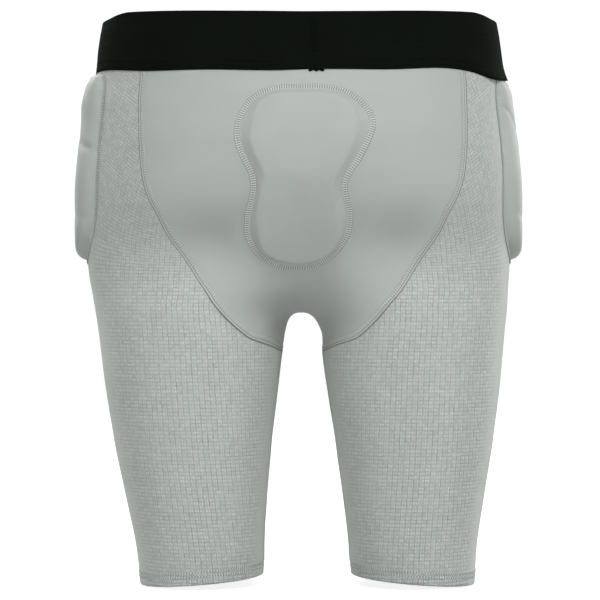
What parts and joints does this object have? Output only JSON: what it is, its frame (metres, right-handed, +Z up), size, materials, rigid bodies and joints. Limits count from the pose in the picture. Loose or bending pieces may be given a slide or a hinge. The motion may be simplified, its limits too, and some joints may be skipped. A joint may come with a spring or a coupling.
{
  "type": "padded impact shorts",
  "caption": "Close-fitting padded impact shorts: elastic waistband, smooth seat, textured legs and foam pads over tailbone, hips and thighs.",
  "frame": {"origin": "centre of the waist opening, in the plane of the waistband's upper rim", "axes": "+Z up, out of the waist opening; the wearer faces -Y, so the seat and tailbone pad are on +Y; +X is the wearer's left"},
  "size_m": [0.381, 0.2331, 0.478],
  "materials": {
    "elastic_black": "matte knitted elastic webbing",
    "band_thread": "black polyester thread",
    "seat_fabric": "smooth stretch knit with a soft sheen",
    "mesh_fabric": "grid-textured breathable stretch knit",
    "pad_cover": "smooth stretch knit with a soft sheen",
    "grey_thread": "flatlock and cover stitching thread",
    "foam": "soft closed-cell EVA foam",
    "label": "blank satin label"
  },
  "bodies": {
    "pelvis": {"waistband_elastic": "elastic_black", "waistband_join_stitch": "band_thread", "waistband_stitching": "band_thread", "care_label": "label", "seat_panel": "seat_fabric", "front_panel": "seat_fabric", "side_panel_left": "mesh_fabric", "side_panel_right": "mesh_fabric", "seat_seam_left": "grey_thread", "seat_seam_right": "grey_thread", "front_seam_left": "grey_thread", "front_seam_right": "grey_thread", "tailbone_pad_core": "foam", "tailbone_pad_cover": "pad_cover", "tailbone_pad_stitching": "grey_thread", "hip_pad_core_left": "foam", "hip_pad_cover_left": "pad_cover", "hip_pad_stitching_left": "grey_thread", "hip_pad_core_right": "foam", "hip_pad_cover_right": "pad_cover", "hip_pad_stitching_right": "grey_thread"},
    "left_leg": {"leg_panel_left": "mesh_fabric", "hem_left": "mesh_fabric", "hem_stitching_left": "grey_thread", "inseam_left": "grey_thread", "thigh_pad_core_left": "foam", "thigh_pad_cover_left": "pad_cover", "thigh_pad_stitching_left": "grey_thread"},
    "right_leg": {"leg_panel_right": "mesh_fabric", "hem_right": "mesh_fabric", "hem_stitching_right": "grey_thread", "inseam_right": "grey_thread", "thigh_pad_core_right": "foam", "thigh_pad_cover_right": "pad_cover", "thigh_pad_stitching_right": "grey_thread"}
  },
  "joints": [
    {"name": "left_hip_flex", "type": "hinge", "parent": "pelvis", "child": "left_leg", "pos_m": [0.09, -0.02, -0.24], "axis": [-1, 0, 0], "range_deg": [-15, 60], "stiffness_Nm_per_rad": 0.4},
    {"name": "right_hip_flex", "type": "hinge", "parent": "pelvis", "child": "right_leg", "pos_m": [-0.09, -0.02, -0.24], "axis": [-1, 0, 0], "range_deg": [-15, 60], "stiffness_Nm_per_rad": 0.4}
  ]
}
